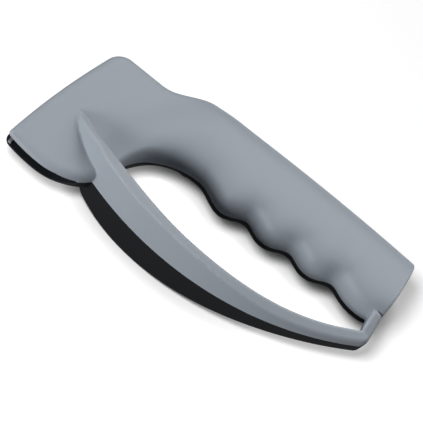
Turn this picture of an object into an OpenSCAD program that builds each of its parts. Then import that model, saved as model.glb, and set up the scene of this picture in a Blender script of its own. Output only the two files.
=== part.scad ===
// Hand-held pull-through knife sharpener with a full finger guard.
// +X runs from the cutting head to the butt, +Y from the guard to the spine and +Z from the back to the roof.
// The origin is under the middle of the whole part, on the surface that its back rests on.

/* [Overall] */
// Length from the front corner of the head to the outside of the guard
overall_length = 151.4; // [140:0.1:165]
// Width from the lip of the knife slot to the spine of the grip
overall_width = 70.2; // [66:0.1:76]
// Thickness of the moulded walls
wall = 1.8; // [1.4:0.1:2.2]

/* [Head] */
// Half thickness of the head at the lip of the knife slot
lip_half_t = 4.4; // [4:0.1:5]
// Extra half thickness of the head at its spine edge
head_wedge = 1.5; // [0.8:0.1:2.4]
// How far the front edge leans back from the lip corner to the spine corner
front_lean = 10.4; // [6:0.1:16]
// How far the front edge bows forwards of a straight line
front_bow = 1.2; // [0:0.1:2.2]
// Radius of the corner between the front edge and the lip, in plan
lip_corner_r = 3.6; // [1.5:0.1:5]
// Radius of the corner between the front edge and the head's spine edge, in plan
head_corner_r = 8; // [4:0.1:12]
// How far the head's spine edge lies inside the spine of the grip
spine_step = 4.8; // [3:0.1:8]
// Length of the lip that lies straight, from the front
lip_run = 15.7; // [12:0.1:20]
// Radius on which the lip sweeps in to the root of the guard
lip_sweep_r = 25; // [22:0.1:32]
// Width over which the top rolls down to the lip
lip_roll = 4; // [3:0.1:5]
// Width over which the top rolls down to the front edge
front_roll = 2.4; // [1.5:0.1:4]
// Height of the upright edge of the head on each side of the parting plane
head_land = 2.6; // [2.4:0.1:3]

/* [Knife slot] */
// Height of the slot that the blade is pulled through
slot_gap = 4.4; // [4.2:0.1:5]
// Depth of the slot from the lip
slot_depth = 6.5; // [5.5:0.1:8]
// Depth of the bottom of the cutting V from the lip
apex_depth = 3.4; // [2.8:0.1:4]
// Angle of each side of the cutting V to the middle of the slot
edge_angle = 20; // [16:0.5:24]

/* [Carbide plates and carrier] */
// Thickness of one plate
plate_t = 1.3; // [1:0.1:1.5]
// Width of one plate
plate_w = 2.4; // [2:0.1:2.8]
// Length of one plate
plate_l = 10.6; // [8:0.1:12]
// Distance from the front of the head to the first plate
plate_setback = 1.9; // [1.6:0.1:3]
// Length of the carrier along the slot
carrier_l = 16; // [13:0.1:20]
// Depth of the carrier behind the slot
carrier_w = 9.4; // [8.6:0.1:10]
// Thickness of the carrier
carrier_t = 5.8; // [5.4:0.1:6]

/* [Grip] */
// Height of the grip's roof above the parting plane
grip_rise = 12.5; // [11:0.1:14]
// Radius of the recess for the first finger, in plan
recess_r = 26; // [22:0.1:28]
// Distance from the front of the head to the middle of that recess
recess_x = 65.3; // [62:0.1:68]
// Distance from the spine to the deepest place of that recess
recess_depth_y = 29.6; // [27:0.1:32]
// Distance from one finger ridge to the next
finger_pitch = 19.6; // [18:0.1:21]
// Distance from the middle of the recess to the first finger ridge
first_ridge = 13.4; // [11:0.1:16]
// Height of the first finger ridge above the bottom of the recess
first_ridge_h = 4.6; // [3:0.1:6]
// Height of the other finger ridges above the hollows between them
ridge_h = 2.7; // [1:0.1:4]
// How much the ridges and hollows draw in from the first to the butt
ridge_draw_in = 3.4; // [0:0.1:5]
// Radius of the slight bow of the spine
spine_bow_r = 900; // [600:10:2000]
// How far the butt leans in from the guard side to the spine
butt_lean = 1.6; // [0:0.1:4]
// Radius of the two corners of the butt, in plan
butt_corner_r = 2.4; // [1:0.1:4]
// Width over which the roof rolls down to the butt
butt_roll = 3.2; // [2:0.1:5]
// Height of the upright edge of the grip on each side of the parting plane
grip_land = 0.6; // [0.2:0.1:2]

/* [Finger guard] */
// Greatest half height of the guard, which is also the height of the parting plane
guard_half_h = 15.8; // [14.5:0.1:17]
// Half height of the guard at the butt
guard_end_half_h = 4.9; // [4:0.1:6]
// Thickness of the guard
guard_t = 4; // [3.2:0.1:4.6]
// Thickness of the guard's root on the head
guard_root_t = 6; // [4:0.1:6.5]
// How far the outside of the guard leans in from the parting plane to its edge
guard_draft = 0.8; // [0.2:0.1:1.2]
// Radius of the outside of the guard, in plan
guard_r = 122; // [115:1:130]
// Distance from the lip's line in to the outermost place of the guard
guard_inset = 3.6; // [2.6:0.1:6]
// Radius of the root that runs onto the head, in plan
guard_root_r = 47; // [40:1:60]
// Angle through which the root turns
guard_root_turn = 33.6; // [28:0.1:38]
// Radius of the guard's corner at the butt, in plan, to the middle of its thickness
guard_corner_r = 3; // [2.4:0.1:5]
// How far the guard's end reaches up the butt past the edge of the grip
guard_end_lap = 1; // [0.6:0.1:3]

/* [Screws] */
// Diameter of the shank of a housing screw
screw_d = 2.9; // [2.5:0.1:3.5]
// Diameter of the head of a housing screw
screw_head_d = 5.6; // [5:0.1:6.5]
// Height of the head of a housing screw
screw_head_h = 2.2; // [1.6:0.1:2.6]
// Length of the shank of a housing screw
screw_l = 17; // [14:0.5:18]
// Number of housing screws along the grip
screw_count = 3; // [2:1:4]
// Diameter of the shank of the carrier screw
carrier_screw_d = 2.2; // [1.8:0.1:2.6]
// Diameter of the head of the carrier screw
carrier_head_d = 4.2; // [3.6:0.1:5]
// Height of the head of the carrier screw
carrier_head_h = 1.2; // [0.9:0.1:1.4]

/* [Hidden] */

// Clearance round a piece that is dropped in or passes through
fit = 0.15;
// Clearance between two plates that lie side by side
plate_gap = 0.1;
// Overrun of every cut past the faces that it opens
over = 1;

// Fineness of the skins: steps round the corner, along the lip, round the recess, along the ridges and
// round the butt, then steps across the body and round each bend of the guard
corner_steps = 6;
lip_steps = 12;
recess_steps = 12;
ridge_steps = 30;
butt_steps = 4;
across = 14;
guard_steps = 12;
$fn = 48;

// Heights and places that the pieces share, with the parting plane at height zero
parting_z = guard_half_h;
front_x = -overall_length / 2;
lip_y = -overall_width / 2;
spine_y = overall_width / 2;
head_spine_y = spine_y - spine_step;
guard_out_y = lip_y + guard_inset;
centre_x = front_x + recess_x;
centre_y = spine_y - recess_depth_y - recess_r;
slot_y = lip_y + slot_depth;
apex_y = lip_y + apex_depth;
first_ridge_x = centre_x + first_ridge;
butt_x = overall_length / 2 - guard_t / 3;

// Where the head swells into the grip, as places that follow the first recess
swell_from = centre_x - 1.5 * recess_r;
swell_to = centre_x - 0.1 * recess_r;
step_from = centre_x - 1.3 * recess_r;
step_to = centre_x - 0.37 * recess_r;

// Sharpness of the rolled edges, where 2 is a quarter ellipse and more is squarer
lip_power = 2.3;
finger_power = 3.4;
spine_power = 2.8;
back_power = 1.3;
// Share of the width over which the grip rolls down to each side
half_share = 0.5;
// Depth that the rounded back would reach below the parting plane if its foot weren't cut flat
back_drop = guard_half_h * 1.2;

// Share of the upright edge's height that the inside of the wall follows
inner_land_share = 0.5;
// Share of the sweep of the lip at which the knife slot runs out
slot_end_share = 0.65;

// Plates: place of the first one and how far each stands out from the bottom of the V to the lip
plate_x = front_x + plate_setback;
mouth_share = 0.7;
plate_mouth = apex_depth * mouth_share;

// Carrier screw: its place in the carrier, its countersunk seat and its tip
carrier_screw_x = plate_x + 2 * plate_t + plate_gap + (carrier_l - 2 * plate_t - plate_gap) / 2;
carrier_screw_y = slot_y + carrier_w / 2;
carrier_seat_z = carrier_head_h + fit - head_half(carrier_screw_y);
carrier_tip_z = carrier_t / 4;
carrier_screw_l = carrier_tip_z - carrier_seat_z;

// Housing screws: their row, the seat of their heads in the back and their tips in the roof's bosses
screw_y = spine_y - recess_depth_y * 0.545;
first_screw_x = centre_x - recess_r / 4;
last_screw_x = butt_x - finger_pitch * 0.7;
screw_seat_z = grip_rise - wall - screw_d - screw_l;
screw_tip_z = screw_seat_z + screw_l;
boss_d = screw_d * 2.5;
column_d = screw_head_d + 4 * fit + 2 * wall;
// Share of the wall by which a boss stays short of the roof's outside
boss_sink_share = 0.7;
// Shares of a screw head taken by the width, the reach and the depth of its cross recess
recess_share = 0.2;
cross_share = 0.62;
recess_depth_share = 0.6;

// Pin that locates the two mouldings in the head
pin_d = wall * 1.4;
pin_h = wall;
pin_boss_d = pin_d + 1.4 * wall;

function clamp01(t) = min(1, max(0, t));
function ease(t) = let (c = clamp01(t)) c * c * (3 - 2 * c);
function mix(a, b, t) = a + (b - a) * t;
// Height share of an edge that rolls over a reach, at a distance in from that edge
function roll(d, reach, power) =
    d <= 0 ? 0 : d >= reach ? 1 : pow(1 - pow(1 - d / reach, power), 1 / power);
// Sagitta of a circle at a distance from its crown
function sag(r, d) = r - sqrt(max(0, r * r - d * d));

// Half thickness of the head between its rolled edges
function head_half(y) = lip_half_t + head_wedge * clamp01((y - lip_y) / (head_spine_y - lip_y));

// Share of the way from the thin head to the thick grip
function swell(x) = ease((x - swell_from) / (swell_to - swell_from));

// Edge of the fingers' side in plan: the round recess, the fall to the first ridge and the even ridges
function ridge_line(x) = spine_y - recess_depth_y - first_ridge_h + ridge_h / 2
    + ridge_draw_in * (x - first_ridge_x) / (3 * finger_pitch);
function finger_y(x) =
    x < centre_x ? centre_y + sqrt(max(0, recess_r * recess_r - (x - centre_x) * (x - centre_x)))
    : x < first_ridge_x ? spine_y - recess_depth_y
        - first_ridge_h * (1 - cos(180 * (x - centre_x) / first_ridge)) / 2
    : ridge_line(x) - ridge_h / 2 * cos(360 * (x - first_ridge_x) / finger_pitch);

// Edge of the lip's side in plan, with its round corner and its sweep to the guard
function lip_edge_y(x) =
    min(lip_y + sag(lip_corner_r, max(0, front_x + lip_corner_r - x))
        + sag(lip_sweep_r, max(0, x - front_x - lip_run)),
        guard_line_y(x) + guard_t / 4);
function low_edge_y(x) = x < centre_x - recess_r ? lip_edge_y(x)
    : finger_y(x) + sag(butt_corner_r, max(0, x - butt_x + butt_corner_r));

// Edge of the spine's side in plan, with the step from the head to the grip
function high_edge_y(x) =
    mix(head_spine_y, spine_y, ease((x - step_from) / (step_to - step_from)))
    - sag(spine_bow_r, x - front_x - overall_length * 2 / 3)
    - sag(head_corner_r, max(0, front_x + front_lean + head_corner_r - x))
    - sag(butt_corner_r, max(0, x - butt_x + butt_lean + butt_corner_r));

// Middle line of the guard: its arc's middle is on the far side of the spine
arc_r = guard_r - guard_t / 2;
arc_y = guard_out_y + guard_r;
function guard_line_y(x) = arc_y - sqrt(max(0, arc_r * arc_r - x * x));

// Half height of the guard along the part
guard_crest_x = centre_x - recess_r * 0.37;
guard_tip_half_h = lip_half_t;
function guard_half(x) = let (
    before = clamp01((guard_crest_x - x) / (guard_crest_x - guard_tip_x)),
    past = clamp01((x - guard_crest_x) / (overall_length / 2 - guard_t - guard_crest_x)))
    x < guard_crest_x ? mix(guard_half_h, guard_tip_half_h, before * before)
    : mix(guard_half_h, guard_end_half_h, (1 - cos(180 * past)) / 2);

// Route of the guard as [x, y, heading]: root, long arc, corner at the butt and end
root_x = centre_x - recess_r - guard_t / 2.5;
root_a = asin(root_x / arc_r);
root_y = guard_line_y(root_x);
guard_tip_x = root_x - guard_root_r * (sin(guard_root_turn - root_a) - sin(-root_a));
corner_x = overall_length / 2 - guard_t / 2 - guard_corner_r;
corner_y = arc_y - sqrt(pow(arc_r - guard_corner_r, 2) - corner_x * corner_x);
corner_a = asin(corner_x / (arc_r - guard_corner_r));
guard_end_y = max(finger_y(corner_x), finger_y(butt_x)) + guard_end_lap;
guard_route = [
    for (i = [0:guard_steps - 1]) let (a = mix(root_a - guard_root_turn, root_a, i / guard_steps))
        [root_x + guard_root_r * (sin(a) - sin(root_a)), root_y + guard_root_r * (cos(root_a) - cos(a)), a],
    for (i = [0:3 * guard_steps]) let (a = mix(root_a, corner_a, i / (3 * guard_steps)))
        [arc_r * sin(a), arc_y - arc_r * cos(a), a],
    for (i = [1:guard_steps / 2]) let (a = mix(corner_a, 90, i / (guard_steps / 2)))
        [corner_x + guard_corner_r * sin(a), corner_y - guard_corner_r * cos(a), a],
    [corner_x + guard_corner_r, guard_end_y, 90]
];

// Distance from the middle line in to the inside of the guard, which thickens along the root
function guard_in(x) = mix(guard_t, guard_root_t, ease((guard_crest_x - x) / (guard_crest_x - root_x)))
    - guard_t / 2;

// Half section of the guard as [outwards, up] for one place along the part, with rounded top edges
function guard_section(x) = let (h = guard_half(x), r = guard_t / 4, in = guard_in(x), out = guard_t / 2) [
    [out, 0],
    [out - guard_draft / 3, h / 2],
    [out - guard_draft, h - r],
    [out - guard_draft - r * (1 - cos(45)), h - r * (1 - sin(45))],
    [out - guard_draft - r, h],
    [r - in, h],
    [r * (1 - cos(45)) - in, h - r * (1 - sin(45))],
    [-in, h - r],
    [-in, 0]
];

// Faces of a grid of points with rows across a strip, and of its closed end caps
function strip_faces(rows, cols) = [
    for (i = [0:rows - 2], j = [0:cols - 1]) let (k = (j + 1) % cols)
        each [[i * cols + j, (i + 1) * cols + j, (i + 1) * cols + k],
            [i * cols + j, (i + 1) * cols + k, i * cols + k]],
    [for (j = [0:cols - 1]) j],
    [for (j = [cols - 1:-1:0]) (rows - 1) * cols + j]
];

// Upper or lower half of the guard, up being 1 or -1
module guard_half_skin(up) {
    rings = [for (p = guard_route) [for (q = guard_section(p[0]))
        [p[0] + q[0] * sin(p[2]), p[1] - q[0] * cos(p[2]), up * q[1]]]];
    faces = strip_faces(len(rings), len(rings[0]));
    polyhedron(points = [for (ring = rings) each ring],
        faces = up < 0 ? faces : [for (f = faces) [for (n = [len(f) - 1:-1:0]) f[n]]]);
}

// Places along the lip's and fingers' side: the corner, the lip up to the loop, the round recess, the ridges
// and the roll at the butt, each as [x, y] on the outline drawn in by an inset
loop_x = centre_x - recess_r;
function side_place(x, inset) = [x, low_edge_y(x) + inset];
function low_places(inset) = let (
    lip_from = front_x + head_corner_r,
    lip_to = loop_x - guard_t / 4 - inset,
    ridge_to = butt_x - butt_roll)
    concat(
    [for (i = [0:corner_steps - 1]) side_place(
        front_x + inset + (head_corner_r - inset) * (1 - cos(90 * i / corner_steps)), inset)],
    [for (i = [0:lip_steps]) side_place(mix(lip_from, lip_to, sin(90 * i / lip_steps)), inset)],
    [for (i = [0:recess_steps]) let (a = 90 * i / recess_steps)
        [centre_x - (recess_r + inset) * cos(a), centre_y + (recess_r + inset) * sin(a)]],
    [for (i = [1:ridge_steps]) side_place(mix(centre_x, ridge_to, i / ridge_steps), inset)],
    [for (i = [1:butt_steps]) side_place(ridge_to + (butt_roll - inset) * sin(90 * i / butt_steps), inset)]);

// Point of the skin in plan, for a place on the low side and a share of the way across
function plan_point(low, c, inset) = let (
    s = (low[0] - front_x) / (butt_x - front_x),
    high_x = low[0] + front_lean * (1 - s) * (1 - s) - butt_lean * s * s,
    bow = front_bow * (1 - s) * (1 - s) * 4 * c * (1 - c))
    [mix(low[0], high_x, c) - bow, mix(low[1], high_edge_y(high_x) - inset, c)];

// Edge that the top rolls down to on the lip's side, which runs on outside the guard past its root
function low_roll_y(x) = x < loop_x
    ? min(lip_y + sag(lip_corner_r, max(0, front_x + lip_corner_r - x))
        + sag(lip_sweep_r, clamp01((x - front_x - lip_run) / lip_sweep_r) * lip_sweep_r),
        guard_line_y(x) - guard_t)
    : finger_y(x);

// Height of the skin above or below the parting plane, for a point on the line across from a low place
function skin_height(low, p, inset, up) = let (
    x = p[0],
    high = high_edge_y(x),
    g = swell(x),
    half = recess_depth_y * half_share,
    roof = mix(head_half(p[1]), up > 0 ? grip_rise : back_drop, g) - inset,
    recess_d = norm([x - centre_x, p[1] - centre_y]) - recess_r,
    edge_d = p[1] - low_roll_y(x),
    low_d = x < centre_x && p[1] > centre_y - recess_r / 4 ? min(x < loop_x ? edge_d : recess_d, recess_d)
        : edge_d,
    reach = mix(lip_roll, half, g),
    low_roll = roll(low_d - inset, reach, mix(lip_power, up > 0 ? finger_power : back_power, g)),
    high_roll = roll(high - inset - p[1], reach, mix(lip_power, up > 0 ? spine_power : back_power, g)),
    front = roll(low[0] - inset - front_x, front_roll, lip_power),
    butt = roll(butt_x - inset - low[0], butt_roll, lip_power),
    land = mix(head_land, grip_land, g) * (inset > 0 ? inner_land_share : 1))
    min(guard_half_h - inset, land + (roof - land) * low_roll * high_roll * front * butt);

// Shell of the body, up being 1 for the roof and -1 for the back
module body_shell(up) {
    function skin(inset) = let (lows = low_places(inset), last = len(lows) - 1)
        [for (i = [-1:last + 1]) let (low = lows[min(last, max(0, i))]) [for (j = [-1:across + 1])
            let (p = plan_point(low, (1 - cos(180 * min(across, max(0, j)) / across)) / 2, inset))
            [p[0], p[1], i < 0 || i > last || j < 0 || j > across ? 0
                : up * skin_height(low, p, inset, up)]]];
    outer = skin(0);
    inner = skin(wall);
    along = len(outer) - 1;
    cols = len(outer[0]);
    count = len(outer) * cols;
    rim = concat(
        [for (i = [0:along - 1]) i * cols],
        [for (j = [0:cols - 2]) along * cols + j],
        [for (i = [along:-1:1]) i * cols + cols - 1],
        [for (j = [cols - 1:-1:1]) j]);
    n = len(rim);
    faces = [
        for (i = [0:along - 1], j = [0:cols - 2]) let (a = i * cols + j)
            each [[a, a + 1, a + cols + 1], [a, a + cols + 1, a + cols],
                [count + a, count + a + cols + 1, count + a + 1],
                [count + a, count + a + cols, count + a + cols + 1]],
        for (k = [0:n - 1]) let (a = rim[k], b = rim[(k + 1) % n])
            each [[a, b, count + b], [a, count + b, count + a]]
    ];
    polyhedron(points = concat([for (row = outer) each row], [for (row = inner) each row]),
        faces = up > 0 ? faces : [for (f = faces) [f[2], f[1], f[0]]]);
}

// Wall at the bottom of the knife slot, from the front edge to the sweep of the lip
module slot_floor(up) {
    rise = lip_half_t - wall / 2;
    translate([front_x + wall, slot_y - wall / 2, up > 0 ? 0 : -rise])
        cube([lip_run + lip_sweep_r / 2, wall * 3 / 2, rise]);
}

// Skin of one moulding: the shell of the body and its half of the guard, brought to the overall size
module skin(up) {
    resize([overall_length, overall_width, guard_half_h]) {
        body_shell(up);
        guard_half_skin(up);
        slot_floor(up);
    }
}

// Slot that the blade is pulled through, cut from the front edge to where the lip sweeps away
module knife_slot() {
    translate([front_x - over, lip_y - over, -slot_gap / 2])
        cube([over + lip_run + lip_sweep_r * slot_end_share, slot_depth + over, slot_gap]);
}

// One plate of the V, side being -1 for the one below the blade and 1 for the one above, grown by a clearance
module plate(side, grow) {
    translate([side < 0 ? plate_x : plate_x + plate_t + plate_gap, apex_y, 0])
        rotate([-side * edge_angle, 0, 0])
            translate([-grow, -plate_mouth - grow, (side < 0 ? -plate_w : 0) - grow])
                cube([plate_t + 2 * grow, plate_l + 2 * grow, plate_w + 2 * grow]);
}

// Block of the carrier, whose front face leans back with the head's front edge, grown by a clearance
module carrier_block(grow) {
    lean = carrier_w * front_lean / (head_spine_y - lip_y);
    translate([0, 0, -carrier_t / 2 - grow]) linear_extrude(carrier_t + 2 * grow) polygon([
        [plate_x - grow, slot_y - grow],
        [plate_x + carrier_l + grow, slot_y - grow],
        [plate_x + carrier_l + grow, slot_y + carrier_w + grow],
        [plate_x + lean - grow, slot_y + carrier_w + grow]]);
}

// Children on the axis of the carrier screw
module at_carrier_screw() {
    translate([carrier_screw_x, carrier_screw_y, 0]) children();
}

// Carrier screw from the outside of the back, with its countersunk head, grown by a clearance
module carrier_screw_body(grow) {
    at_carrier_screw() translate([0, 0, carrier_seat_z]) rotate_extrude() polygon([
        [0, -carrier_head_h], [carrier_head_d / 2 + grow, -carrier_head_h], [carrier_screw_d / 2 + grow, 0],
        [carrier_screw_d / 2 + grow, carrier_screw_l + grow], [0, carrier_screw_l + grow]]);
}

// Children at each housing screw along the middle of the grip
module at_housing_screws() {
    for (i = [0:screw_count - 1])
        translate([mix(first_screw_x, last_screw_x, i / (screw_count - 1)), screw_y, 0]) children();
}

// Cross recess of a screw head whose face looks down at height zero
module cross_recess(head_d, depth) {
    blade = head_d * recess_share;
    for (a = [0, 90]) rotate([0, 0, a])
        translate([-head_d * cross_share / 2, -blade / 2, -over])
            cube([head_d * cross_share, blade, depth + over]);
}

// Children at the pin that locates the two mouldings in the head
module at_locating_pin() {
    translate([front_x + recess_x / 3, head_spine_y / 2, 0]) children();
}

module upper_housing() {
    color("#9aa1a9") difference() {
        union() {
            skin(1);
            at_housing_screws() cylinder(d = boss_d, h = grip_rise - wall * boss_sink_share);
            at_locating_pin() cylinder(d = pin_boss_d, h = lip_half_t);
        }
        knife_slot();
        plate(-1, fit);
        plate(1, fit);
        carrier_block(fit);
        at_housing_screws() translate([0, 0, -over])
            cylinder(d = screw_d + fit, h = over + screw_tip_z + wall / 2);
        at_locating_pin() translate([0, 0, -over]) cylinder(d = pin_d + 2 * fit, h = over + pin_h + fit);
    }
}

module lower_housing() {
    color("#26272b") difference() {
        union() {
            skin(-1);
            at_housing_screws() translate([0, 0, -guard_half_h + wall / 2])
                cylinder(d = column_d, h = guard_half_h - wall / 2);
            at_locating_pin() {
                translate([0, 0, -lip_half_t]) cylinder(d = pin_boss_d, h = lip_half_t);
                translate([0, 0, -lip_half_t]) cylinder(d = pin_d, h = lip_half_t + pin_h);
            }
        }
        knife_slot();
        plate(-1, fit);
        plate(1, fit);
        carrier_block(fit);
        carrier_screw_body(fit);
        at_housing_screws() {
            translate([0, 0, -guard_half_h - over])
                cylinder(d = screw_head_d + 4 * fit, h = over + guard_half_h + screw_seat_z);
            translate([0, 0, screw_seat_z - over])
                cylinder(d = screw_d + 2 * fit, h = over - screw_seat_z + over);
        }
    }
}

module front_carbide() {
    color("#b0b4b8") plate(-1, 0);
}

module rear_carbide() {
    color("#b0b4b8") plate(1, 0);
}

module carbide_carrier() {
    color("#5a5d62") difference() {
        carrier_block(0);
        plate(-1, plate_gap / 2);
        plate(1, plate_gap / 2);
        at_carrier_screw() translate([0, 0, -carrier_t / 2 - over])
            cylinder(d = carrier_screw_d + plate_gap, h = over + carrier_t / 2 + carrier_tip_z + plate_t / 2);
    }
}

module carrier_screw() {
    color("#8f9398") difference() {
        carrier_screw_body(0);
        at_carrier_screw() translate([0, 0, carrier_seat_z - carrier_head_h])
            cross_recess(carrier_head_d, carrier_head_h / 2);
    }
}

module housing_screws() {
    color("#8f9398") at_housing_screws() difference() {
        translate([0, 0, screw_seat_z]) rotate_extrude() polygon([
            [0, -screw_head_h], [screw_head_d / 2, -screw_head_h], [screw_head_d / 2, 0], [screw_d / 2, 0],
            [screw_d / 2, screw_l - screw_d], [screw_d / 4, screw_l], [0, screw_l]]);
        translate([0, 0, screw_seat_z - screw_head_h])
            cross_recess(screw_head_d, screw_head_h * recess_depth_share);
    }
}

translate([0, 0, parting_z]) upper_housing();
translate([0, 0, parting_z]) lower_housing();
translate([0, 0, parting_z]) front_carbide();
translate([0, 0, parting_z]) rear_carbide();
translate([0, 0, parting_z]) carbide_carrier();
translate([0, 0, parting_z]) carrier_screw();
translate([0, 0, parting_z]) housing_screws();
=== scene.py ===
# %% [markdown]
# # A hand-held pull-through knife sharpener
# The tool is a grey and a black plastic shell that close on each other. A knife is drawn through the slot
# in the flat head, and a broad guard keeps the fingers behind the blade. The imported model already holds
# every piece at its real size. This file makes the two shells again, with the soft blends that a mould
# leaves where the guard grows out of the head. The cutting plates and the screws that close the shells are
# made again too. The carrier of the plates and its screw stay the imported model's own.

import math

import bmesh
import bpy
import numpy as np
from mathutils import Matrix, Vector


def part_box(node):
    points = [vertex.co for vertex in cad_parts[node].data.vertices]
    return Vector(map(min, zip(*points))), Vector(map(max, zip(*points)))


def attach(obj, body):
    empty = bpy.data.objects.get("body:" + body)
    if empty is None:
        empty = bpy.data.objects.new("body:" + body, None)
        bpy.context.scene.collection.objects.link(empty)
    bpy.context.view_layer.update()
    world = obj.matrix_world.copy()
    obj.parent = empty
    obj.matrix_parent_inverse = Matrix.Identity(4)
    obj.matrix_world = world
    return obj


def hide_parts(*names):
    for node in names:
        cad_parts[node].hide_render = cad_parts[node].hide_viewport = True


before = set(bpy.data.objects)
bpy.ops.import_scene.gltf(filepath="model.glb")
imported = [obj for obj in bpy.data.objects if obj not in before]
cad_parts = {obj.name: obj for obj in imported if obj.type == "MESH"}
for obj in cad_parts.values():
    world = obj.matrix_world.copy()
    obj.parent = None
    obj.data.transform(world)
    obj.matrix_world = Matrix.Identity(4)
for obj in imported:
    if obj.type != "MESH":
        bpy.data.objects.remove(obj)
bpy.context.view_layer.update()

# %% [markdown]
# ## Camera
# The photograph looks down on the tool from the guard's side, at 55 degrees above the table, and the
# picture is turned so that the tool lies from the upper left to the lower right. A long lens a metre and a
# half away keeps the sides of the grip nearly parallel, as they are there. The width of the view follows
# from the size that one point of the picture has on the tool.

# %% Camera
picture = 423
point = 0.37e-3
elevation = math.radians(55)
turn = math.radians(39)
camera_distance = 1.5
target = Vector((0.5e-3, -1.0e-3, 15.8e-3))

back_along_view = Vector((0, -math.cos(elevation), math.sin(elevation)))
level_right = Vector((1, 0, 0))
level_up = Vector((0, math.sin(elevation), math.cos(elevation)))
right = math.cos(turn) * level_right + math.sin(turn) * level_up
up = -math.sin(turn) * level_right + math.cos(turn) * level_up

camera = bpy.data.objects.new("camera", bpy.data.cameras.new("camera"))
bpy.context.scene.collection.objects.link(camera)
axes = Matrix((right, up, back_along_view)).transposed().to_4x4()
camera.matrix_world = Matrix.Translation(target + camera_distance * back_along_view) @ axes
camera.data.sensor_width = 36
camera.data.lens = camera.data.sensor_width * camera_distance / (picture * point)
camera.data.clip_start = 0.01
bpy.context.scene.camera = camera
print("lens, mm:", round(camera.data.lens, 1))

# %% [markdown]
# ## Sizes
# The shells are worked out in millimetres, with the parting plane between them at height zero, because both
# are drawn up and down from it. X runs from the head to the butt and Y from the guard to the spine. A size
# that only one shape needs stands with that shape. A change along the tool is eased: it starts and ends
# softly, and its helper takes the two places between which it happens.

# %% Sizes in millimetres from the parting plane
parting = 15.8
half_length, half_width = 75.7, 35.1
wall = 1.8
lip_half, head_wedge = 4.4, 1.5
slot_half, slot_back = 2.2, -half_width + 6.5
lip_run, lip_sweep_r = 15.7, 25
head_spine_y = half_width - 4.8
grip_rise = 12.5
recess_r, recess_x = 26, -half_length + 65.3
recess_y = half_width - 29.6 - recess_r
first_ridge_x = recess_x + 13.6
ridge_pitch, ridge_h, first_ridge_h, last_ridge_x = 19.6, 3.3, 4.9, 57
guard_r, guard_t = 121.8, 4.0
guard_centre_y = -half_width + 3.95 + guard_r + guard_t / 2
crest_x = recess_x - 0.37 * recess_r
lip_trim, finger_trim = 0.8, 0.6
ridge_fade = 13.0
head_corner_r, head_rim_r, grip_rim_r = 5.5, 1.4, 2.4
head_reach, grip_reach, recess_reach = 3.4, 14.8, 21.0
head_land, grip_land, recess_land, back_land = 2.4, 0.6, 1.3, 2.6
back_drop, back_rim_r = 1.2 * parting, 2.8


def clamp01(t):
    return np.clip(t, 0, 1)


def ease(t):
    c = clamp01(t)
    return c * c * (3 - 2 * c)


def over(x, start, end):
    """0 before the start, 1 past the end, and eased between them."""
    return ease((x - start) / (end - start))


def mix(a, b, t):
    return a + (b - a) * t


# %% [markdown]
# ## Shapes as distances
# A moulded part has no sharp joint between its guard and its head: they melt into each other. The plain way
# to make that is a boolean union and a bevel, but a bevel fails where the fin runs out to nothing. So each
# form is written as a function that tells how far a point is outside it, below zero inside. Two such
# distances are joined with a fillet, or cut with a rounded edge, by one short helper each.

# %% Rounded cut and filleted join of two distances
def rounded_cut(a, b, r):
    corner = np.hypot(np.maximum(a + r, 0), np.maximum(b + r, 0))
    return np.minimum(-r, np.maximum(a, b)) + corner


def filleted_join(a, b, r):
    corner = np.hypot(np.maximum(r - a, 0), np.maximum(r - b, 0))
    return np.maximum(r, np.minimum(a, b)) - corner


# %% [markdown]
# ## Plan of the body
# From above, the body is bounded by the lip, the round recess for the first finger, the finger ridges, the
# butt, the spine and the leaning front. Each function below is the distance in from one of them. The ridges
# fade away from their edge, so that they are full at the parting plane and gone on the roof, as fingers
# press them.

# %% Distances in from each edge of the plan
def in_from_lip(x, y):
    bow, far = 0.008, 60
    sweep_x, sweep_y = -half_length + lip_run, -half_width + lip_sweep_r
    arc = lip_sweep_r - lip_trim - np.hypot(x - sweep_x, y - sweep_y)
    past_guard = over(y, -22, -14)
    line = y + half_width - lip_trim - bow * (x - sweep_x) ** 2
    return np.where(x < sweep_x, line, arc) + far * past_guard


def ridge_wave(x):
    stretch, flatter = 0.32, 0.2
    before = -over(x, recess_x, first_ridge_x)
    stretched = x - stretch * np.maximum(x - last_ridge_x, 0)
    after = -np.cos(2 * np.pi * (stretched - first_ridge_x) / ridge_pitch)
    broad = after - flatter * (1 - after * after)
    return ridge_h / 2 * np.where(x < first_ridge_x, before, broad)


def edge_trim(x):
    """How far the finger side is cut back, less at the top of the recess."""
    return finger_trim * (1 - over(x, -32, -24) * (1 - over(x, -16, -2)))


def finger_edge(x):
    narrowing, last_slope = 3.4, 0.1
    top = recess_y + recess_r + edge_trim(x)
    along = clamp01((x - recess_x) / (first_ridge_x - recess_x))
    fall = top - first_ridge_h * (1 - np.cos(np.pi * along)) / 2
    draw_in = narrowing * (x - first_ridge_x) / (3 * ridge_pitch) - last_slope * np.maximum(x - last_ridge_x, 0)
    ridges = top - first_ridge_h + ridge_h / 2 + draw_in + ridge_wave(x)
    return np.where(x < first_ridge_x, fall, ridges)


def in_from_fingers(x, y):
    round_part = np.hypot(x - recess_x, y - recess_y) - recess_r - edge_trim(x)
    edge = finger_edge(x)
    slope = (finger_edge(x + 0.1) - finger_edge(x - 0.1)) / 0.2
    faded = ridge_wave(x) * ease((y - edge) / ridge_fade)
    return np.where(x < recess_x, round_part, (y - edge + faded) / np.sqrt(1 + slope * slope))


def in_from_spine(x, y):
    top_x, bow_r, swelling, below_box = 25.2, 900, 0.5, 3.4
    step = over(x, -43.5, -23)
    swollen = swelling * np.exp(-((x + 16) / 8) ** 2)
    grip = half_width - (x - top_x) ** 2 / (2 * bow_r) + swollen
    return mix(head_spine_y - below_box, grip, step) - y


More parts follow.
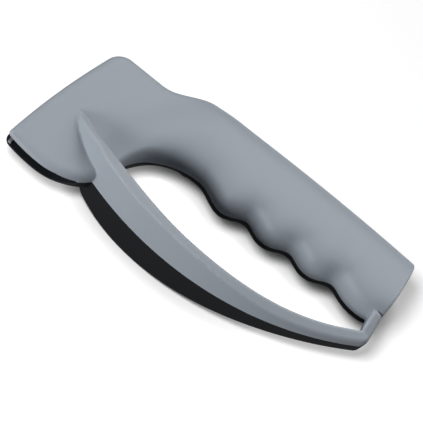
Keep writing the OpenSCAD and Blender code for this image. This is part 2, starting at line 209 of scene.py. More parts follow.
def in_from_front(x, y):
    front_x, lean, bow, square_on = -70.2, 0.2102, 0.00155, 0.973
    return square_on * (x - front_x - lean * y - bow * y * y)


def in_from_butt(x, y):
    butt_x, bow = 74.3, 0.0022
    return butt_x - bow * (y - 2) ** 2 - x


# %% [markdown]
# ## Section of the body
# The head is a flat slab with a small roll at its rim. The grip is a tall rounded section that rolls over
# half its width to each side. Both are superellipses, whose power says how square the shoulder is, and the
# section changes from one to the other where the head swells into the grip. The land is the upright rim at
# the parting plane. The black half has a higher one on the grip, where its back rolls in early.

# %% Body, as a distance
def head_section(x, y, height, roof, rim_r, power=2.3):
    rim = -rounded_cut(-in_from_front(x, y), -in_from_spine(x, y), head_corner_r)
    rim = -rounded_cut(-rim, -np.minimum(in_from_lip(x, y), in_from_fingers(x, y)), rim_r)
    return np.maximum(1 - rim / head_reach, 0) ** power + (height / roof) ** power


def grip_section(x, y, height, roof, finger_power, spine_power):
    reach = mix(recess_reach, grip_reach, over(x, -30, -8))
    fingers = np.maximum(1 - in_from_fingers(x, y) / reach, 0) ** finger_power
    spine = np.maximum(1 - in_from_spine(x, y) / grip_reach, 0) ** spine_power
    return fingers + spine + (height / roof) ** ((finger_power + spine_power) / 2)


def body_shape(x, y, z, side):
    """The body's value, 0 on its skin; side 1 is the grey half above the parting plane and -1 the black one."""
    to_spine = over(y, 0, 25)
    swell = over(x, mix(-49.4, -41, to_spine), mix(-22, -17, to_spine))
    head_roof = lip_half + head_wedge * clamp01((y + half_width) / (head_spine_y + half_width))
    if side > 0:
        grip_roof, land_on_grip = grip_rise, grip_land
        finger_power, spine_power = mix(1.3, 3.4, over(x, -38, 0)), 2.8
        rim_r = mix(head_rim_r, grip_rim_r, over(x, -66, -56))
    else:
        grip_roof, land_on_grip = back_drop, mix(recess_land, back_land, over(x, -22, -4))
        finger_power, spine_power = 1.1, 1.1
        rim_r = back_rim_r
    land = mix(head_land, land_on_grip, swell)
    roof = mix(head_roof, grip_roof, swell) - land
    height = np.maximum(side * z - land, 0)
    head = head_section(x, y, height, roof, rim_r)
    grip = grip_section(x, y, height, roof, finger_power, spine_power)
    return mix(head, grip, swell) - 1


def body(x, y, z, side, grown=0.0):
    """Distance outside the body: the shape's value over its own slope, so that it counts in millimetres."""
    h, least_slope, butt_r = 0.05, 0.06, 1.0
    value = body_shape(x, y, z, side)
    slopes = [(body_shape(x + a, y + b, z + c, side) - value) / h
              for a, b, c in ((h, 0, 0), (0, h, 0), (0, 0, h))]
    steepness = np.sqrt(sum(s * s for s in slopes))
    distance = rounded_cut(value / np.maximum(steepness, least_slope), -in_from_butt(x, y), butt_r)
    return np.maximum(distance, side * z - parting) - grown


# %% [markdown]
# ## Finger guard
# The guard is a band on edge. Its middle line is one long arc, with a tighter arc that carries it onto the
# head as a fin, and a small corner that turns it up the butt. A point is measured against the nearest of
# these: how far it is to the outside of the line, how far along, and how far past the end on the butt.

# %% Middle line of the guard
root_x, root_r = -38.0, 47.0
root_a = math.asin(root_x / guard_r)
root_y = guard_centre_y - guard_r * math.cos(root_a)
root_cx, root_cy = root_x - root_r * math.sin(root_a), root_y + root_r * math.cos(root_a)
corner_r, strap_h = 3.0, 8.7
corner_x = half_length - guard_t / 2 - corner_r
corner_y = guard_centre_y - math.sqrt((guard_r - corner_r) ** 2 - corner_x ** 2)
end_top = corner_y + strap_h
tip_x = -61.3


def along_guard(x, y):
    """Offset to the outside of the middle line, place along the part, and distance past the butt's end."""
    long_r = np.hypot(x, y - guard_centre_y)
    root_d = np.hypot(x - root_cx, y - root_cy)
    on_root = (x - root_cx) / root_d < math.sin(root_a)
    on_root &= x < root_x + 20
    out = np.where(on_root, root_d - root_r, long_r - guard_r)
    place = np.where(on_root, root_cx + root_r * (x - root_cx) / root_d, guard_r * x / long_r)
    past_corner = x * corner_y - corner_x * y + guard_centre_y * (corner_x - x) < 0
    past_corner &= x > 40
    corner_out = np.hypot(x - corner_x, y - corner_y) - corner_r
    end_out = np.where(y > corner_y, x - corner_x - corner_r, corner_out)
    out = np.where(past_corner, end_out, out)
    return out, np.where(past_corner, corner_x, place), np.where(past_corner, y - end_top, -99.0)


# %% [markdown]
# ## Section of the guard
# The grey half rises from the fin on the head to a crest, falls to the butt and ends there as a low strap.
# Its top leans, and its inner edge shows a flat. The black half is plainer. All of this is one section, cut
# with rounded edges, whose sizes change with the place along the guard, and on the butt with the height of
# the strap.

# %% Guard, as a distance
strap_rise, strap_lean, strap_thinning, strap_widening = 0.4, 0.08, 0.09, 0.14


def guard_top(place, side):
    power, root, end = (2.8, 5.3, 4.9) if side > 0 else (2.0, lip_half, 6.1)
    before = np.clip((crest_x - place) / (crest_x - tip_x), 0, 1.3) ** power
    to_butt = clamp01((place - crest_x) / (half_length - guard_t - crest_x))
    past = (1 - np.cos(np.pi * to_butt)) / 2
    return np.where(place < crest_x, mix(parting, root, before), mix(parting, end, past))


def guard(x, y, z, side):
    """Distance outside one half of the guard. Outer and inner are its reach to each side of the middle line."""
    out, place, past_end = along_guard(x, y)
    up_butt = np.maximum(y - corner_y, 0) * over(place, 55, 65)
    top = guard_top(place, side)
    inner_at_butt = -0.9 * over(place, 60, 68)
    thin, foot, lean, tilt, ridge_r = 0.4, 0, 0.8, 0, 1.1
    if side > 0:
        top = top + strap_rise * up_butt
        inner_at_butt = strap_widening * up_butt
        thin = mix(1.4, 0.7, over(place, -60, -53))
        foot = mix(4.5, 0, over(place, -48, -38))
        lean = mix(mix(1.2, 2.0, over(place, -56, -46)), 0.3, over(place, -46, -20)) + strap_lean * up_butt
        tilt = 0.35 * over(place, 0, 40)
        ridge_r = mix(0.5, 1.1, over(place, 30, 65))
    taper = clamp01((place - tip_x) / 3.5) ** 0.5
    outer = taper * mix(thin, guard_t / 2, over(place, -49, -40)) - strap_thinning * up_butt
    inner = taper * mix(2.6, 3.9, over(place, 0, -34) * over(place, -62, -42)) + inner_at_butt
    share_of_height = clamp01((side * z - foot) / np.maximum(top - foot, 0.5))
    to_top = side * z - top + tilt * np.maximum(out + 2.2, 0)
    shape = rounded_cut(out - outer + lean * share_of_height, to_top, ridge_r)
    inner_r = mix(0.6, 1.7, over(place, -48, -23)) - 0.7 * over(place, -20, 30)
    shape = rounded_cut(shape, -out - inner, inner_r)
    return rounded_cut(shape, past_end, 1.2)


def housing(x, y, z, side):
    """Body and guard in one, with a wide fillet on the inside of the guard and a small one outside."""
    out = along_guard(x, y)[0]
    inside = mix(mix(1.6, 0.8, over(x, -20, 20)), 0.3, over(x, 58, 66))
    inside = inside * clamp01((x - tip_x - 1) / 10) + 0.05
    fillet = mix(inside, 0.3, over(out, -1, 1))
    return filleted_join(body(x, y, z, side), guard(x, y, z, side), fillet)


# %% [markdown]
# ## From distances to a mesh
# Surface nets turn a distance into a skin: space is cut into small cubes, each cube that the surface
# crosses gets one point, and neighbouring points are joined. Two Newton steps then put every point exactly
# on the surface, so that light runs smoothly over it. The other ways are metaballs or a remesh of rough
# solids, but neither keeps the sizes that the functions give.

# %% Skin of a shape
def cube_points(values, low, step):
    """One point in each cube that the surface crosses, at the mean of its edges' crossings."""
    inside = values < 0
    count = sum(inside[i:i - 1 or None, j:j - 1 or None, k:k - 1 or None].astype(np.int8)
                for i in (0, 1) for j in (0, 1) for k in (0, 1))
    cells = np.argwhere((count > 0) & (count < 8))
    corners = np.array([(i, j, k) for i in (0, 1) for j in (0, 1) for k in (0, 1)])
    at = values[tuple((cells[:, None, :] + corners[None]).transpose(2, 0, 1))]
    total, crossings = np.zeros((len(cells), 3)), np.zeros(len(cells))
    for a in range(8):
        for b in range(a + 1, 8):
            if np.abs(corners[a] - corners[b]).sum() != 1:
                continue
            crossed = (at[:, a] < 0) != (at[:, b] < 0)
            share = np.where(crossed, at[:, a] / np.where(crossed, at[:, a] - at[:, b], 1), 0)
            spot = corners[a] + share[:, None] * (corners[b] - corners[a])
            total += np.where(crossed[:, None], spot, 0)
            crossings += crossed
    return cells, low + step * (cells + total / crossings[:, None])


def cube_faces(values, cells):
    """A four-sided face across every edge of the grid whose ends lie on different sides."""
    number = np.full(np.array(values.shape) - 1, -1)
    number[tuple(cells.T)] = np.arange(len(cells))
    inside = values < 0
    faces = []
    for axis in range(3):
        u, v = (axis + 1) % 3, (axis + 2) % 3
        here = np.moveaxis(inside, axis, 0)
        crossed = np.moveaxis(here[:-1] != here[1:], 0, axis)
        spots = np.argwhere(crossed)
        spots = spots[(spots[:, u] > 0) & (spots[:, v] > 0)]
        ring = []
        for du, dv in ((1, 1), (0, 1), (0, 0), (1, 0)):
            cell = spots.copy()
            cell[:, u] -= du
            cell[:, v] -= dv
            ring.append(number[tuple(cell.T)])
        ring = np.array(ring).T
        starts_inside = inside[tuple(spots.T)]
        faces.append(np.where(starts_inside[:, None], ring, ring[:, ::-1]))
    return np.vstack(faces)


def onto_surface(shape, points, steps=2):
    h, least_slope, longest_move = 0.02, 0.05, 0.3
    for _ in range(steps):
        x, y, z = points.T
        value = shape(x, y, z)
        moved = shape(x + h, y, z), shape(x, y + h, z), shape(x, y, z + h)
        slope = np.array([m - value for m in moved]) / h
        move = -value / np.maximum((slope ** 2).sum(0), least_slope)
        points = points + np.clip(move * slope, -longest_move, longest_move).T
    return points


def skin(name, shape, low, high, step):
    """Closed mesh object of a shape inside a box, in metres in the model's frame."""
    axes = [np.arange(a, b + step, step) for a, b in zip(low, high)]
    values = shape(*np.meshgrid(*axes, indexing="ij"))
    for axis in range(3):
        edge = np.moveaxis(values, axis, 0)
        edge[0] = edge[-1] = step
    cells, points = cube_points(values, np.array(low, float), step)
    faces = cube_faces(values, cells)
    first, last = np.array(low) + 1.5 * step, np.array([a[-1] for a in axes]) - 1.5 * step
    within = (points > first).all(1) & (points < last).all(1)
    points[within] = onto_surface(shape, points[within])
    return mesh_object(name, (points + (0, 0, parting)) / 1000, faces)


def mesh_object(name, points, faces):
    mesh = bpy.data.meshes.new(name)
    mesh.from_pydata(points.tolist(), [], faces.tolist())
    piece = bpy.data.objects.new(name, mesh)
    bpy.context.scene.collection.objects.link(piece)
    return piece


# %% [markdown]
# ## Cutting tools
# The two shells are the same skin, cut at the parting plane. The hollow, the knife slot and the screw holes
# are taken out with booleans. Every cutter is a closed mesh, so the quick manifold solver can be used.

# %% Cutters and booleans
def box_cutter(low, high):
    bm = bmesh.new()
    bmesh.ops.create_cube(bm, size=1)
    low, high = np.array(low, float), np.array(high, float)
    for v in bm.verts:
        v.co = Vector(((low + high) / 2 + np.array(v.co) * (high - low) + (0, 0, parting)) / 1000)
    return object_from(bm, "cutter")


def rod_cutter(x, y, low, high, d):
    bm = bmesh.new()
    r, depth = d / 2000, (high - low) / 1000
    bmesh.ops.create_cone(bm, cap_ends=True, segments=48, radius1=r, radius2=r, depth=depth)
    bmesh.ops.translate(bm, vec=Vector((x, y, (low + high) / 2 + parting)) / 1000, verts=bm.verts)
    return object_from(bm, "cutter")


def object_from(bm, name):
    mesh = bpy.data.meshes.new(name)
    bm.to_mesh(mesh)
    bm.free()
    piece = bpy.data.objects.new(name, mesh)
    bpy.context.scene.collection.objects.link(piece)
    return piece


def combine(piece, operation, *others):
    """Joins the others to the piece or cuts them out of it, and removes them."""
    for other in others:
        step = piece.modifiers.new("step", "BOOLEAN")
        step.operation, step.solver, step.object = operation, "MANIFOLD", other
    graph = bpy.context.evaluated_depsgraph_get()
    result = bpy.data.meshes.new_from_object(piece.evaluated_get(graph))
    piece.modifiers.clear()
    old, piece.data = piece.data, result
    bpy.data.meshes.remove(old)
    for other in others:
        bpy.data.objects.remove(other)


def smooth(piece, sharp_above=38):
    piece.data.shade_smooth()
    piece.data.set_sharp_from_angle(angle=math.radians(sharp_above))
    return piece


# %% [markdown]
# ## The two shells
# The grey shell is the side that shows, and the black one is the back. Both are hollow: the hollow is the
# body's own shape, drawn in by the wall. It stays clear of the guard, which is solid, and of the knife
# slot.

# %% Upper and lower shell
skin_step, hollow_step = 0.5, 1.5
margin = 1.2


def shell(name, side):
    bottom, top = sorted((-side * margin, side * (parting + margin)))
    low = [-half_length - margin, -half_width - margin, bottom]
    high = [half_length + margin, half_width + margin, top]
    piece = skin(name, lambda x, y, z: housing(x, y, z, side), low, high, skin_step)
    hollow = skin("hollow", lambda x, y, z: hollow_shape(x, y, z, side), low, high, hollow_step)
    bottom, top = sorted((0, -side * 40))
    other_half = box_cutter([-100, -60, bottom], [100, 60, top])
    combine(piece, "DIFFERENCE", hollow, other_half)
    return piece


def hollow_shape(x, y, z, side):
    clear_of_guard = wall - guard(x, y, z, side)
    return np.maximum(np.maximum(body(x, y, z, side, -wall), clear_of_guard), slot_back + wall - y)


upper = shell("upper_shell", 1)
lower = shell("lower_shell", -1)
for piece in (upper, lower):
    print(piece.name, len(piece.data.vertices), "points,", len(piece.data.polygons), "faces")

# %% [markdown]
# ## Knife slot and insert
# The slot runs in from the front edge between the lips. Behind it sits the carrier, which holds the two
# carbide plates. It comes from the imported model, so the shells leave room for its box with a little play. A
# thin wall stays in front of it, so that the pocket doesn't break through the head's front face.

# %% Slot and pocket
sweep_share = 0.65
slot_end = -half_length + lip_run + sweep_share * lip_sweep_r


def in_mm(corner):
    return np.array(corner) * 1000 - (0, 0, parting)


def slot_cutter():
    """A flat box whose far end comes to an edge at the parting plane, so that the slot runs out gently."""
    outside, narrows, edge = -90, slot_end - 9, slot_end + 3
    section = [(outside, -slot_half), (narrows, -slot_half), (edge, 0),
               (narrows, slot_half), (outside, slot_half)]
    bm = bmesh.new()
    rings = [[bm.verts.new(Vector((x, y, z + parting)) / 1000) for x, z in section] for y in (-60, slot_back)]
    bm.faces.new(rings[0])
    bm.faces.new(rings[1][::-1])
    for i in range(len(section)):
        bm.faces.new((rings[0][i - 1], rings[1][i - 1], rings[1][i], rings[0][i]))
    bmesh.ops.recalc_face_normals(bm, faces=bm.faces)
    return object_from(bm, "cutter")


clearance, front_wall = 0.15, 0.9
pocket_low = in_mm(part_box("carbide_carrier")[0]) - clearance
pocket_high = in_mm(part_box("carbide_carrier")[1]) + clearance
pocket_low[0] += front_wall
pocket_low[1] = slot_back - 0.5
print("pocket:", pocket_low.round(2), pocket_high.round(2))
for piece in (upper, lower):
    combine(piece, "DIFFERENCE", slot_cutter(), box_cutter(pocket_low, pocket_high))

# %% [markdown]
# ## Carbide plates
# Two small plates of hard metal cross inside the slot, and their ground edges shave the blade. Each is a
# bar with lightly broken edges, and they are tilted to opposite sides about the point where they cross. A
# cube with a bevel is enough, because the bars really are that plain.

# %% Two crossed plates
plate_t, plate_w, plate_l, plate_tilt = 1.3, 2.4, 9.2, math.radians(20)
broken_edge, crossing_y = 0.12, -31.3


def carbide_plate(name, x, start, tilt):
    bm = bmesh.new()
    bmesh.ops.create_cube(bm, size=1)
    for v in bm.verts:
        v.co = Vector((v.co.x * plate_t, (v.co.y + 0.5) * plate_l + start, v.co.z * plate_w)) / 1000
    bmesh.ops.bevel(bm, geom=bm.edges, offset=broken_edge / 1000, segments=2, affect="EDGES")
    bmesh.ops.rotate(bm, verts=bm.verts, cent=(0, 0, 0), matrix=Matrix.Rotation(tilt, 3, "X"))
    bmesh.ops.translate(bm, verts=bm.verts, vec=Vector((x, crossing_y, parting)) / 1000)
    piece = smooth(object_from(bm, name))
    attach(piece, "root")
    return piece


plates = {}
for node, name, shift, start, tilt in (("front_carbide", "front_plate", 0.2, -2.1, plate_tilt),
                                       ("rear_carbide", "rear_plate", 0.0, 1.0, -plate_tilt)):
    low, high = (in_mm(c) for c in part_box(node))
    middle = (low[0] + high[0]) / 2
    plates[node] = carbide_plate(name, middle + shift, start, tilt)
    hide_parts(node)
    print(name, "middle at x", round(middle, 2))

# %% [markdown]
# ## Wells for the screws
# Three screws close the tool from its black back, each at the bottom of a round well. The well is a column
# that grows from the shell's floor, with a wide bore for the head and a narrow one for the shank. Above it,
# a boss under the roof takes the thread. Rods are joined to each shell first, and then others are cut out
# of them. One more bore lets the carrier's screw in.

# %% Wells, bores and bosses
screw_low, screw_high = (in_mm(c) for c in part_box("housing_screws"))
screw_count, screw_head_d, screw_d, screw_head_h = 3, 5.6, 2.9, 2.2
column_d, well_d, boss_d, bore_d, carrier_bore_d = 9.8, 6.2, 7.2, screw_d + 0.3, 4.5
back, boss_top, bore_top = -parting + 0.6, grip_rise - 1.2, screw_high[2] + 0.6
screw_y = (screw_low[1] + screw_high[1]) / 2
screw_places = np.linspace(screw_low[0] + screw_head_d / 2, screw_high[0] - screw_head_d / 2, screw_count)
seat = screw_low[2] + screw_head_h


def rods(low, high, d):
    return [rod_cutter(x, screw_y, low, high, d) for x in screw_places]


combine(lower, "UNION", *rods(back, 0, column_d))
combine(lower, "DIFFERENCE", *rods(-parting - 1, seat, well_d), *rods(seat - 1, 1, bore_d))
combine(upper, "UNION", *rods(0, boss_top, boss_d))
combine(upper, "DIFFERENCE", *rods(-1, bore_top, bore_d))
carrier_low, carrier_high = (in_mm(c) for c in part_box("carrier_screw"))
combine(lower, "DIFFERENCE", rod_cutter(*(carrier_low + carrier_high)[:2] / 2, -9, -2, carrier_bore_d))
for piece in (upper, lower):
    smooth(piece)
    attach(piece, "root")
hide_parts("upper_housing")
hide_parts("lower_housing")
print("screws at x:", screw_places.round(1), "y:", round(screw_y, 1), "seat:", round(seat, 1))

# %% [markdown]
# ## One screw
# The screw is turned on a lathe and its cross is pressed in. So its outline is spun round, and a cross of
# two wedges is cut from the head with a boolean. The thread is a stack of rings, as its slope can't be seen
# at this size. The screw is modelled once, head down, with its seat at height zero.

# %% Screw
def lathe(outline, segments=40):
    """Closed solid from [radius, height] points that start and end on the axis."""
    bm = bmesh.new()
    rings = []
    for radius, height in outline:
        count = 1 if radius == 0 else segments
        rings.append([bm.verts.new(Vector((radius * math.cos(a), radius * math.sin(a), height)) / 1000)
                      for a in np.linspace(0, 2 * math.pi, count, endpoint=False)])
    for one, other in zip(rings, rings[1:]):
        for i in range(segments):
            before = i - 1
            face = [one[before % len(one)], one[i % len(one)],
                    other[i % len(other)], other[before % len(other)]]
            bm.faces.new(list(dict.fromkeys(face)))
    bmesh.ops.recalc_face_normals(bm, faces=bm.faces)
    return object_from(bm, "screw")


def wedge(length=3.5, wide=0.95, deep=1.4, beyond=0.5):
    """One bar of the cross, narrower and shorter inside the head than outside it."""
    bm = bmesh.new()
    bmesh.ops.create_cube(bm, size=1)
    for v in bm.verts:
        long_share, wide_share = (0.45, 0.6) if v.co.z > 0 else (1, 1)
        v.co = Vector((v.co.x * length * long_share, v.co.y * wide * wide_share,
                       (v.co.z + 0.5) * (deep + beyond) - screw_head_h - beyond)) / 1000
    return object_from(bm, "wedge")


head_r, shank_r, shank_l = screw_head_d / 2, screw_d / 2, screw_high[2] - seat
flat_share, crown_h, rim_h = 0.55, 1.3, 0.15
core_r, thread_pitch, plain_shank, point_l = shank_r - 0.35, 1.1, 3.0, 2
outline = [(0, -screw_head_h), (head_r * flat_share, -screw_head_h)]
for a in np.linspace(0.3, math.pi / 2, 6):
    outline.append((head_r * (flat_share + (1 - flat_share) * math.sin(a)),
                    -screw_head_h + crown_h * (1 - math.cos(a))))
outline += [(head_r, -rim_h), (head_r - rim_h, 0), (shank_r, 0)]
for h in np.arange(plain_shank, shank_l - point_l - thread_pitch, thread_pitch):
    outline += [(core_r, h), (core_r, h + 0.3), (shank_r, h + 0.65), (core_r, h + 1.0)]
outline += [(core_r, shank_l - point_l), (0, shank_l)]
screw = lathe(outline)
turned = wedge()
turned.data.transform(Matrix.Rotation(math.pi / 2, 4, "Z"))
combine(screw, "DIFFERENCE", wedge(), turned)
smooth(screw, 30)
print("screw:", len(screw.data.polygons), "faces")

# %% [markdown]
# ## Screws in a row
# Screws that repeat are best set by Geometry Nodes: a line of points along the grip, with one copy of the
# screw on each, turned a little further than the last, as no two screws stop at the same angle. The screw,
# the count, the spacing, the first place, the turn and the finish are inputs of the tree. The copies are
# realised at the end, so that they are plain mesh for the export.

# %% Geometry Nodes tree
tree = bpy.data.node_groups.new("screws in a row", "GeometryNodeTree")
kinds = {"Screw": "Object", "Count": "Int", "Spacing": "Vector", "First": "Vector", "Turn": "Float",
         "Finish": "Material"}
tree.interface.new_socket("Geometry", in_out="INPUT", socket_type="NodeSocketGeometry")
sockets = {name: tree.interface.new_socket(name, in_out="INPUT", socket_type="NodeSocket" + kind)
           for name, kind in kinds.items()}
tree.interface.new_socket("Geometry", in_out="OUTPUT", socket_type="NodeSocketGeometry")
given, result = tree.nodes.new("NodeGroupInput"), tree.nodes.new("NodeGroupOutput")


def stage_of(kind, **links):
    made = tree.nodes.new(kind)
    for name, source in links.items():
        tree.links.new(source, made.inputs[name.replace("_", " ")])
    return made


line = stage_of("GeometryNodeMeshLine", Count=given.outputs["Count"],
                Start_Location=given.outputs["First"], Offset=given.outputs["Spacing"])
one = stage_of("GeometryNodeObjectInfo", Object=given.outputs["Screw"])
number = stage_of("GeometryNodeInputIndex")
angle = tree.nodes.new("ShaderNodeMath")
angle.operation = "MULTIPLY"
tree.links.new(number.outputs[0], angle.inputs[0])
tree.links.new(given.outputs["Turn"], angle.inputs[1])
spin = stage_of("ShaderNodeCombineXYZ", Z=angle.outputs[0])
copies = stage_of("GeometryNodeInstanceOnPoints", Points=line.outputs["Mesh"],
                  Instance=one.outputs["Geometry"], Rotation=spin.outputs[0])
real = stage_of("GeometryNodeRealizeInstances", Geometry=copies.outputs["Instances"])
finish = stage_of("GeometryNodeSetMaterial", Geometry=real.outputs["Geometry"],
                  Material=given.outputs["Finish"])
tree.links.new(finish.outputs["Geometry"], result.inputs["Geometry"])
print("tree:", len(tree.nodes), "nodes")

# %% [markdown]
# ## Materials in a few words
# A material is a small graph of nodes. Written out node by node it would hide what it does, so one class
# wraps a node's output and takes Python's own operators: `0.5 + grain * 0.2` adds the two Math nodes. Every
# other node comes from one method, which takes the node's type, its settings and its inputs.

# %% Node maths
class Value:
    def __init__(self, made_by, socket):
        self.made_by, self.socket = made_by, socket

    def maths(self, operation, first, second=0.0):
        return self.made_by.node("ShaderNodeMath", {"operation": operation}, {0: first, 1: second})

    def __add__(self, other):
        return self.maths("ADD", self, other)

    def __sub__(self, other):
        return self.maths("SUBTRACT", self, other)

    def __mul__(self, other):
        return self.maths("MULTIPLY", self, other)

    def __pow__(self, other):
        return self.maths("POWER", self, other)

    __radd__, __rmul__ = __add__, __mul__

    def absolute(self):
        return self.maths("ABSOLUTE", self)

    def below(self, limit):
        return self.maths("LESS_THAN", self, limit)

    def clamped(self):
        return self.maths("MINIMUM", self.maths("MAXIMUM", self, 0.0), 1.0)


class Finish:
    """A material: its fixed values go on the shader's own sockets, and what varies is linked to them."""

    def __init__(self, name, **fixed):
        self.material = bpy.data.materials.new(name)
        self.material.use_nodes = True
        self.shader = self.material.node_tree.nodes["Principled BSDF"]
        for socket, value in fixed.items():
            self.shader.inputs[socket.replace("_", " ")].default_value = value
        self.place = self.node("ShaderNodeTexCoord", output="Object")

    def node(self, kind, settings={}, inputs={}, output=0):
        """One node of the material, as the value of one of its outputs."""
        made = self.material.node_tree.nodes.new(kind)
        for name, value in settings.items():
            setattr(made, name, value)
        for name, value in inputs.items():
            self.feed(made.inputs[name], value)
        return Value(self, made.outputs[output])

    def feed(self, socket, value):
        if isinstance(value, Value):
            self.material.node_tree.links.new(value.socket, socket)
        else:
            socket.default_value = value

    def noise(self, size, detail=2.0, place=None):
        """Noise from 0 to 1 whose blotches are about this many metres across."""
        inputs = {"Vector": place or self.place, "Scale": 1 / size, "Detail": detail}
        return self.node("ShaderNodeTexNoise", inputs=inputs)

    def attribute(self, name):
        return self.node("ShaderNodeAttribute", {"attribute_name": name}, output="Fac")

    def colours(self, share, low, high):
        """Mix of two colours, each a colour of three numbers or another mix."""
        low, high = (c if isinstance(c, Value) else (*c, 1) for c in (low, high))
        return self.node("ShaderNodeMix", {"data_type": "RGBA"}, {0: share, 6: low, 7: high}, output=2)

    def bump(self, height, depth):
        inputs = {"Strength": 1.0, "Distance": depth, "Height": height}
        return self.node("ShaderNodeBump", inputs=inputs)

    def finished(self, **links):
        for socket, value in links.items():
            self.feed(self.shader.inputs[socket.replace("_", " ")], value)
        return self.material


# %% [markdown]
# ## Moulded plastic
# Both shells have the fine satin texture that a spark-eroded mould leaves. It scatters light, so highlights
# are soft. The raised edges get a painted highlight: their colour is mixed towards a lighter one. An
# attribute on each point says how much of an edge it is on: it comes from the same distances as the shape,
# which curve most where the surface bends.

# %% How sharp an edge each point is on
def mark_edges(piece, side):
    points = np.empty(len(piece.data.vertices) * 3)
    piece.data.vertices.foreach_get("co", points)
    x, y, z = (points.reshape(-1, 3) * 1000 - (0, 0, parting)).T
    h, full_bend = 0.7, 1.2
    middle = housing(x, y, z, side)
    around = sum(housing(x + a, y + b, z + c, side) for a, b, c in (
        (h, 0, 0), (-h, 0, 0), (0, h, 0), (0, -h, 0), (0, 0, h), (0, 0, -h)))
    bend = (around - 6 * middle) / h ** 2
    edge = piece.data.attributes.new("edge", "FLOAT", "POINT")
    edge.data.foreach_set("value", clamp01(bend / full_bend).astype(np.float32))
    print(piece.name, "points on an edge:", int((bend > full_bend / 2).sum()))


mark_edges(upper, 1)
mark_edges(lower, -1)

# %% [markdown]
# ## Satin finish
# The colour wanders by a few hundredths in broad clouds and in fine grain, as moulded plastic does. The
# grain also sets the roughness and a very shallow bump. The faces of the knife slot in the black shell are
# painted a little lighter: painted light, in place of the light that reaches into the slot. A painted
# mask would do it too, but the place alone says where the slot is.

# %% Satin plastic
mask_play = 0.6


def in_slot(finish):
    """1 on the faces of the knife slot, 0 elsewhere, from the position alone."""
    place = {"Vector": finish.place}
    x, y, z = (finish.node("ShaderNodeSeparateXYZ", inputs=place, output=axis) for axis in "XYZ")
    height = (z - parting / 1000).absolute()
    inside = height.below((slot_half + mask_play) / 1000) * y.below((slot_back + 0.05) / 1000)
    return inside * x.below(slot_end / 1000)


def satin_plastic(name, colour, edge_highlight, rough, shine, painted_slot_light=None):
    plastic = Finish(name, Specular_IOR_Level=shine)
    cloud = plastic.noise(0.03, 3)
    grain = plastic.noise(0.00042, 4)
    edge = plastic.attribute("edge")
    darker, lighter = [c * 0.965 for c in colour], [c * 1.035 for c in colour]
    base = plastic.colours((cloud * 0.6 + grain * 0.4).clamped(), darker, lighter)
    # Painted highlight: where the surface bends, the colour is mixed towards a lighter edge colour.
    edge_highlight_share = (edge * (0.5 + cloud)).clamped()
    mixed = plastic.colours(edge_highlight_share * 0.8, base, edge_highlight)
    if painted_slot_light:
        # Painted light: the slot's faces are lighter, in place of the light that reaches into the slot.
        mixed = plastic.colours(in_slot(plastic) * (0.6 + 0.4 * grain), mixed, painted_slot_light)
    return plastic.finished(
        Base_Color=mixed,
        Roughness=rough - 0.1 + 0.16 * grain + 0.06 * cloud - 0.08 * edge_highlight_share,
        Normal=plastic.bump(grain, 0.00002))


grey_plastic = satin_plastic("grey_plastic", colour=(0.315, 0.350, 0.395), edge_highlight=(0.385, 0.42, 0.465),
                             rough=0.5, shine=0.35)
black_plastic = satin_plastic("black_plastic", colour=(0.0100, 0.0105, 0.0125), edge_highlight=(0.022, 0.023, 0.026),
                              rough=0.5, shine=0.08, painted_slot_light=(0.030, 0.034, 0.040))


def dress(piece, material):
    piece.data.materials.clear()
    piece.data.materials.append(material)


dress(upper, grey_plastic)
dress(lower, black_plastic)

# %% [markdown]
# ## Carbide, carrier and screws
# The plates are ground, so fine parallel lines run across their long faces: the noise is stretched along
# one axis. The screws are zinc plated, with a faint haze. The carrier is plain dark plastic. The carrier
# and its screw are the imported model's own pieces, so they only get a finish.

# %% Ground carbide, zinc and dark plastic
ground = Finish("ground_carbide", Metallic=1.0)
stretched = ground.node("ShaderNodeMapping", inputs={"Vector": ground.place, "Scale": (1, 0.05, 1)})
lines = ground.noise(0.00012, 2, stretched)
ground.finished(Base_Color=ground.colours(lines, (0.52, 0.53, 0.55), (0.68, 0.69, 0.71)),
                Roughness=0.42 + 0.15 * lines, Normal=ground.bump(lines, 0.000008))
zinc = Finish("zinc_plate", Metallic=1.0)
haze = zinc.noise(0.0009, 3)
zinc.finished(Base_Color=zinc.colours(haze, (0.34, 0.35, 0.36), (0.47, 0.48, 0.49)),
              Roughness=0.3 + 0.2 * haze)
carrier_plastic = satin_plastic("carrier_plastic", colour=(0.012, 0.013, 0.015), edge_highlight=(0.03, 0.031, 0.034),
                                rough=0.55, shine=0.2)
for piece in plates.values():
    dress(piece, ground.material)
for node, material in (("carbide_carrier", carrier_plastic), ("carrier_screw", zinc.material)):
    for place in bpy.data.objects[node].material_slots:
        place.material = material

# %% [markdown]
# ## The row of screws
# The tree now gets its inputs. Each is set by its socket's identifier, which stays the same when a name
# changes. The result is taken as a plain mesh, so the modifier and the single screw can go.

# %% Set the screws along the grip
screws = object_from(bmesh.new(), "housing_screw_row")
row = screws.modifiers.new("row", "NODES")
row.node_group = tree
spacing, turn_between = screw_places[1] - screw_places[0], 0.8
values = {"Screw": screw, "Count": screw_count, "Spacing": (spacing / 1000, 0, 0),
          "First": (screw_places[0] / 1000, screw_y / 1000, (seat + parting) / 1000),
          "Turn": turn_between, "Finish": zinc.material}
for name, value in values.items():
    row[sockets[name].identifier] = value
graph = bpy.context.evaluated_depsgraph_get()
mesh = bpy.data.meshes.new_from_object(screws.evaluated_get(graph))
screws.modifiers.clear()
screws.data = mesh
bpy.data.objects.remove(screw)
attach(screws, "root")
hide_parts("housing_screws")
print("screws:", len(mesh.polygons), "faces in", screw_count, "copies")
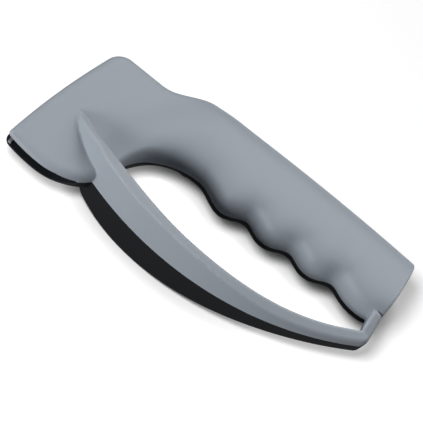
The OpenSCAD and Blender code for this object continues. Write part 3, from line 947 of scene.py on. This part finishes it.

# %% [markdown]
# ## Stage
# The photograph shows the tool on white, in soft light from behind and from the front, with a tight shadow
# along its lower outline. The tool and the floor get lights of their own by light linking. Five light the
# tool. One lamp a little above the camera lights the floor, so that the shadow peeps out below the tool
# only. The floor also glows for the camera, and ambient occlusion darkens that glow close to the tool: a
# painted contact shadow. For the light that it throws back to the tool the floor is dark, which keeps the
# finger recess dark.

# %% Floor
floor_half, near_tool, glow = 3, 0.0075, 0.46
corners = [(-1, -1, 0), (1, -1, 0), (1, 1, 0), (-1, 1, 0)]
floor = mesh_object("floor", floor_half * np.array(corners, float), np.array([(0, 1, 2, 3)]))
paper = Finish("white_paper", Roughness=1.0, Specular_IOR_Level=0.0)
sight = paper.node("ShaderNodeLightPath", output="Is Camera Ray")
for ray, share in (("Is Glossy Ray", 0.25), ("Is Transmission Ray", 1.0)):
    sight = sight + paper.node("ShaderNodeLightPath", output=ray) * share
sight = sight.clamped()
# Painted contact shadow: ambient occlusion darkens the floor's glow close to the tool.
occlusion = paper.node("ShaderNodeAmbientOcclusion", {"samples": 16}, {"Distance": near_tool}, output="AO")
open_sky = occlusion ** 2.0
paper.shader.inputs["Emission Strength"].default_value = 1.0
floor.data.materials.append(paper.finished(
    Base_Color=paper.colours(sight, (0.10, 0.10, 0.10), (0.8, 0.8, 0.8)),
    Emission_Color=paper.colours(open_sky * sight, (0, 0, 0), (glow, glow, glow))))

# %% [markdown]
# ## Lights
# Each lamp is a rectangle that looks at the middle of the tool, as soft boxes stand round it in a studio.
# Three are behind it and make the roof bright. Two are low in front, and light the guard's face and the
# rims. The world adds a trace of light from everywhere.

# %% Lights and world
def only_floor(state):
    """Collection that gives a light the floor alone, or all but the floor."""
    group = bpy.data.collections.new("floor " + state.lower())
    group.objects.link(floor)
    group.collection_objects[0].light_linking.link_state = state
    return group


def soft_light(name, place, size, watts, reach):
    light = bpy.data.lights.new(name, "AREA")
    light.shape, light.size, light.size_y, light.energy = "RECTANGLE", size[0], size[1], watts
    lamp = bpy.data.objects.new(name, light)
    bpy.context.scene.collection.objects.link(lamp)
    facing = (Vector(place) - target).to_track_quat("Z", "Y").to_matrix().to_4x4()
    lamp.matrix_world = Matrix.Translation(place) @ facing
    lamp.light_linking.receiver_collection = reach


on_tool, on_floor = only_floor("EXCLUDE"), only_floor("INCLUDE")
soft_light("behind", (0, 0.62, 0.70), (0.5, 0.5), 4.2, on_tool)
soft_light("behind right", (0.55, 0.45, 0.60), (0.5, 0.5), 3.1, on_tool)
soft_light("behind left", (-0.55, 0.45, 0.60), (0.5, 0.5), 1.75, on_tool)
soft_light("front", (-0.38, -0.78, 0.26), (0.7, 0.2), 6.0, on_tool)
soft_light("low front", (-0.58, -0.69, 0.11), (0.8, 0.16), 1.7, on_tool)
soft_light("above", (-0.216, -0.45, 0.89), (0.28, 0.28), 9.4, on_floor)
world = bpy.data.worlds.new("world")
world.use_nodes = True
background = world.node_tree.nodes["Background"]
background.inputs["Color"].default_value = (1, 1, 1, 1)
background.inputs["Strength"].default_value = 0.02
bpy.context.scene.world = world
bpy.context.scene.view_settings.view_transform = "Standard"
